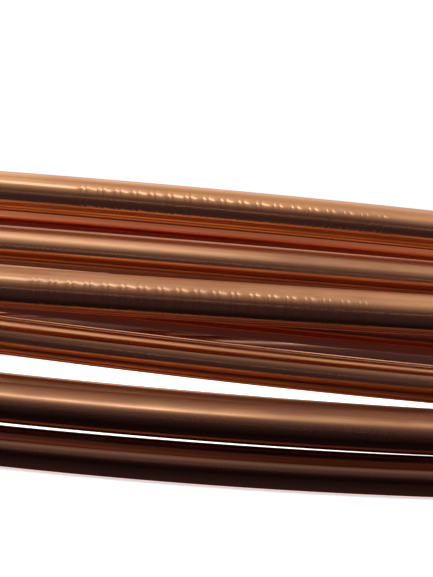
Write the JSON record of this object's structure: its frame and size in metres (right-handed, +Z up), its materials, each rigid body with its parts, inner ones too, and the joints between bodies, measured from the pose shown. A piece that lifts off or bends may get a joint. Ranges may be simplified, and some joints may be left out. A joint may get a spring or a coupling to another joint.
{
  "type": "copper tube coil",
  "caption": "Loose coil of soft copper tube lying flat, its turns in three layers with gaps between them, and both ends cut square and open.",
  "frame": {"origin": "centre of the bounding box, at the level of the floor that the coil lies on", "axes": "+Z up along the coil's axis; the front that the picture shows faces -Y; +X to the right of it"},
  "size_m": [0.733, 0.7336, 0.1165],
  "materials": {
    "copper": "bright drawn copper, lightly tarnished, with fine lengthwise drawing marks"
  },
  "bodies": {
    "root": {"copper_tube": "copper"}
  },
  "joints": []
}
